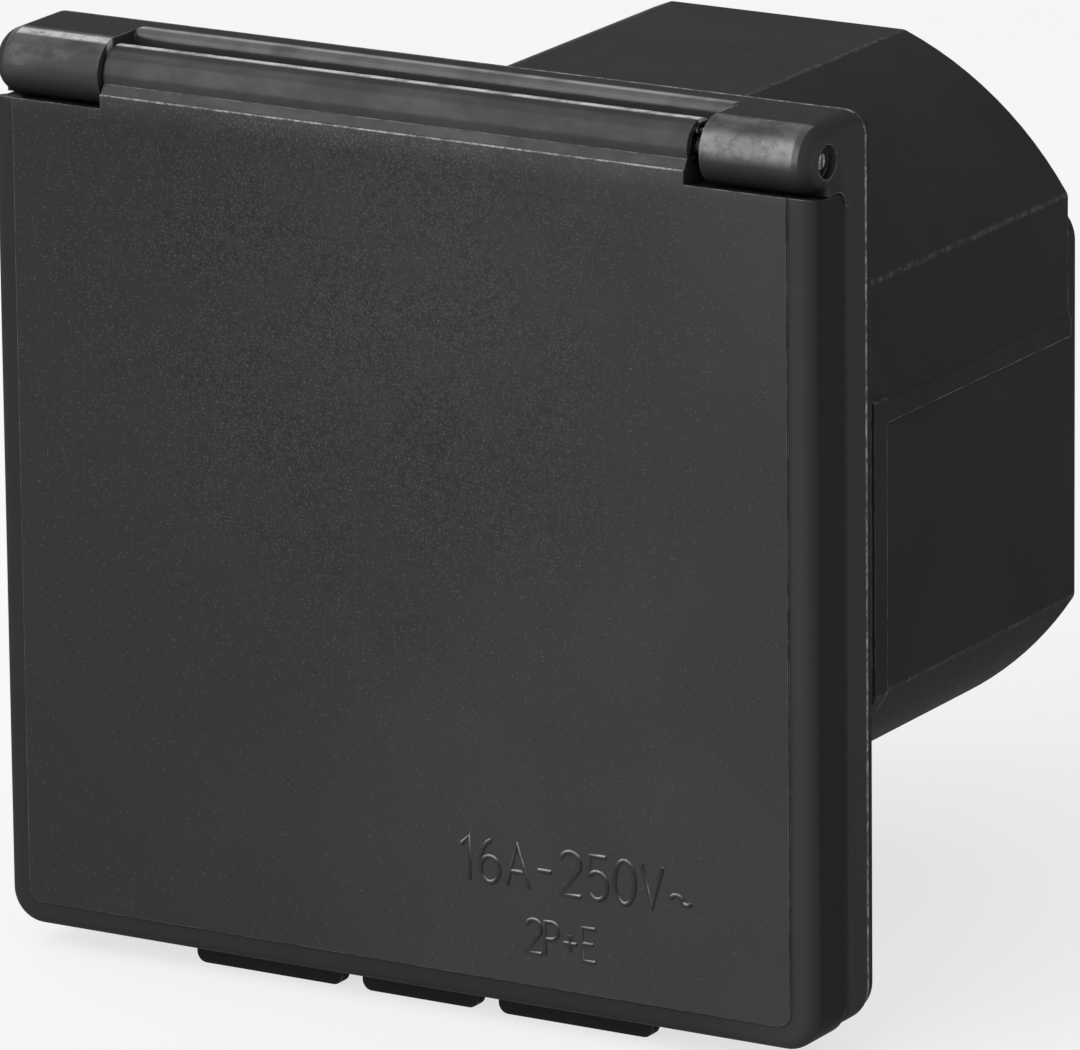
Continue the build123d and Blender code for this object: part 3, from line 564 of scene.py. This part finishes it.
GLYPHS = {
    "0": (0.56, [arc(0.28, 0.5, 0.26, 0.5, 90, 450, 28)]),
    "1": (0.36, [[(0.05, 0.8), (0.24, 1.0), (0.24, 0.0)]]),
    "2": (0.56, [arc(0.28, 0.74, 0.25, 0.26, 165, -35) + [(0.03, 0.0), (0.54, 0.0)]]),
    "5": (0.56, [[(0.5, 1.0), (0.1, 1.0), (0.06, 0.53)] + arc(0.27, 0.32, 0.25, 0.32, 125, -140)]),
    "6": (0.56, [arc(0.42, 0.42, 0.38, 0.58, 105, 180) + arc(0.28, 0.3, 0.24, 0.3, 180, 540, 24)]),
    "-": (0.5, [[(0.08, 0.46), (0.42, 0.46)]]),
    "A": (0.62, [[(0.02, 0.0), (0.3, 1.0), (0.58, 0.0)], [(0.12, 0.34), (0.48, 0.34)]]),
    "V": (0.6, [[(0.02, 1.0), (0.29, 0.0), (0.56, 1.0)]]),
    "~": (0.56, [arc(0.17, 0.3, 0.13, 0.1, 190, 0, 8) + arc(0.43, 0.3, 0.13, 0.1, 180, 350, 8)]),
    "P": (0.56, [[(0.06, 0.0), (0.06, 1.0), (0.26, 1.0)] + arc(0.26, 0.74, 0.24, 0.26, 90, -90, 10)
                 + [(0.06, 0.48)]]),
    "E": (0.52, [[(0.48, 0.0), (0.06, 0.0), (0.06, 1.0), (0.48, 1.0)],
                 [(0.06, 0.52), (0.42, 0.52)]]),
    "+": (0.6, [[(0.08, 0.45), (0.5, 0.45)], [(0.29, 0.2), (0.29, 0.7)]]),
}


def raised_words(name, words, left, right, base, height, stroke):
    """A line of raised strokes on the flap's field, riding with the flap."""
    advance = sum(GLYPHS[letter][0] for letter in words)
    gap = ((right - left) / height - advance) / (len(words) - 1)
    data = bpy.data.curves.new(name, "CURVE")
    data.dimensions = "3D"
    data.bevel_depth = stroke
    data.bevel_resolution = 3
    data.use_fill_caps = True
    depth = FIELD_Y + 0.35 * stroke
    pen = 0.0
    for letter in words:
        width, strokes = GLYPHS[letter]
        for points in strokes:
            spline = data.splines.new("POLY")
            spline.points.add(len(points) - 1)
            for point, (u, v) in zip(spline.points, points):
                point.co = (left + (pen + u) * height, depth, base + v * height, 1)
        pen += width + gap
    drawn = bpy.data.objects.new(name, data)
    piece = bpy.data.objects.new(name, bpy.data.meshes.new_from_object(drawn))
    bpy.data.curves.remove(data)
    bpy.context.collection.objects.link(piece)
    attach(piece, "flap")
    return piece


def add_rating():
    n = Nodes("rating_black")
    normal = n.add("ShaderNodeNewGeometry").outputs["Normal"]
    # Painted highlight on the upward-facing tops of the strokes
    painted_crest_highlight = n.product(
        n.ramp(n.upward(normal), 0.25, 0.8),
        n.ramp(n.noise(800, 5, 0.8), 0.34, 0.6, 0.35, 1.0),
    )
    shade = n.mix(n.noise(700, 3, 0.6), grey(0.004), grey(0.014))
    material = n.finish(
        Base_Color=n.mix(painted_crest_highlight, shade, grey(0.42)),
        Roughness=n.ramp(n.noise(900, 3, 0.6), 0.3, 0.7, 0.2, 0.34),
        Specular_IOR_Level=0.3,
    )
    # Name, words, left and right end, base line, height and stroke radius, in millimetres
    for name, words, *sizes in (
        ("rating_upper", "16A-250V~", 8.7, 42.5, -43.4, 5.7, 0.34),
        ("rating_lower", "2P+E", 18.2, 28.6, -51.8, 4.4, 0.3),
    ):
        piece = raised_words(name, words, *(size * MM for size in sizes))
        piece.data.materials.append(material)


def add_lamp(name, place, aim, size, power):
    data = bpy.data.lights.new(name, "AREA")
    data.shape = "RECTANGLE"
    data.size, data.size_y = size
    data.energy = power
    lamp = bpy.data.objects.new(name, data)
    bpy.context.collection.objects.link(lamp)
    lamp.location = place
    lamp.rotation_euler = (Vector(aim) - Vector(place)).to_track_quat("-Z", "Y").to_euler()


def add_lights():
    add_lamp("top_left", (-0.4, -0.1, 0.78), (0, 0, 0), (0.6, 0.25), 0.5)
    add_lamp("front_left", (-0.55, -1.2, 0.45), (0, 0, 0), (2.0, 2.0), 26)


def camera_sees(tree):
    """1 for what the camera sees straight, in reflections or through clear parts."""
    path = tree.nodes.new("ShaderNodeLightPath")
    seen = path.outputs["Is Camera Ray"]
    for kind in ("Is Glossy Ray", "Is Transmission Ray"):
        either = tree.nodes.new("ShaderNodeMath")
        either.operation = "MAXIMUM"
        tree.links.new(seen, either.inputs[0])
        tree.links.new(path.outputs[kind], either.inputs[1])
        seen = either.outputs[0]
    return seen


def add_stage():
    """A white floor that keeps a faint shadow: most of what the camera sees of it is its own white."""
    size = 3.0
    corners = [(size * i, size * j, FLOOR_Z) for i, j in ((-1, -1), (1, -1), (1, 1), (-1, 1))]
    mesh = bpy.data.meshes.new("floor")
    mesh.from_pydata(corners, [], [(0, 1, 2, 3)])
    floor = bpy.data.objects.new("floor", mesh)
    bpy.context.collection.objects.link(floor)
    n = Nodes("floor_white")
    seen = camera_sees(n.tree)
    mesh.materials.append(n.finish(
        Base_Color=n.mix(seen, grey(0.86), grey(0.3)),
        Roughness=0.9,
        Specular_IOR_Level=0.0,
        Emission_Color=grey(1.0),
        Emission_Strength=n.product(seen, 0.7),
    ))


def add_world():
    """White to the eye and in reflections, and a plain soft light on matt surfaces."""
    world = bpy.data.worlds.new("studio")
    bpy.context.scene.world = world
    world.use_nodes = True
    tree = world.node_tree
    background = tree.nodes["Background"]
    level = tree.nodes.new("ShaderNodeMapRange")
    level.inputs["To Min"].default_value = 0.5
    level.inputs["To Max"].default_value = 1.0
    tree.links.new(camera_sees(tree), level.inputs["Value"])
    tree.links.new(level.outputs["Result"], background.inputs["Strength"])
    background.inputs["Color"].default_value = (1, 1, 1, 1)


add_camera()
add_stage()
add_world()
add_lights()
dress_all()
add_rating()

scene = bpy.context.scene
scene.view_settings.view_transform = "Standard"
